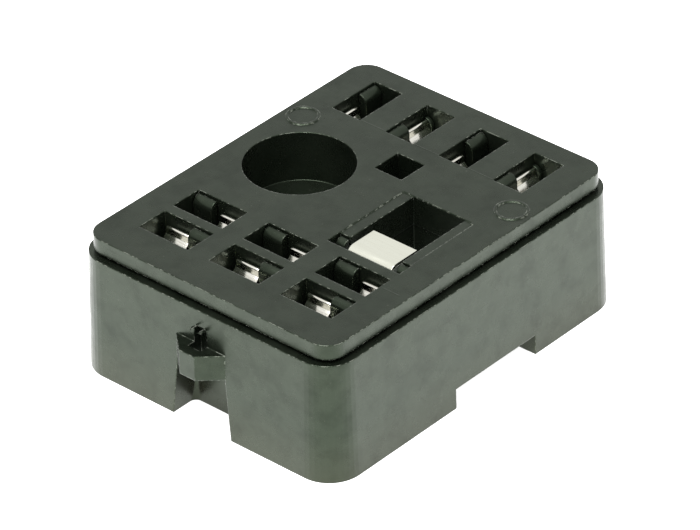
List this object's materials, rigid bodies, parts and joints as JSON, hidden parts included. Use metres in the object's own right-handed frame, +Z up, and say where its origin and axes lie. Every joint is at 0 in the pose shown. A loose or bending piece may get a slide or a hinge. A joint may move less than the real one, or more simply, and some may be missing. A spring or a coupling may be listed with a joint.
{
  "type": "relay socket",
  "caption": "Black moulded plug-in relay socket with blade contacts in a cover plate, a round locating well, a window with a retaining spring, and a lug on each end.",
  "frame": {"origin": "middle of the underside, on the surface that the socket stands on", "axes": "X along the two faces with the lugs, Y from the face with the three-slot rows to the face with the four-slot row, Z up out of the contact slots"},
  "size_m": [0.0368, 0.051, 0.0167],
  "materials": {
    "housing_plastic": "satin black phenolic moulding",
    "cover_plastic": "satin black phenolic moulding",
    "spring_steel": "bright nickel-plated spring sheet",
    "contact_metal": "tinned bronze strip"
  },
  "bodies": {
    "base": {"housing": "housing_plastic", "cover_plate": "cover_plastic", "contact_front_1": "contact_metal", "contact_front_2": "contact_metal", "contact_front_3": "contact_metal", "contact_second_1": "contact_metal", "contact_second_2": "contact_metal", "contact_second_3": "contact_metal", "contact_back_1": "contact_metal", "contact_back_2": "contact_metal", "contact_back_3": "contact_metal", "contact_back_4": "contact_metal"},
    "spring": {"retaining_spring": "spring_steel"}
  },
  "joints": [
    {"name": "spring_flex", "type": "hinge", "parent": "base", "child": "spring", "pos_m": [0.0085, -0.0063, 0.0083], "axis": [1, 0, 0], "range_deg": [0, 4], "stiffness_Nm_per_rad": 0.3}
  ]
}
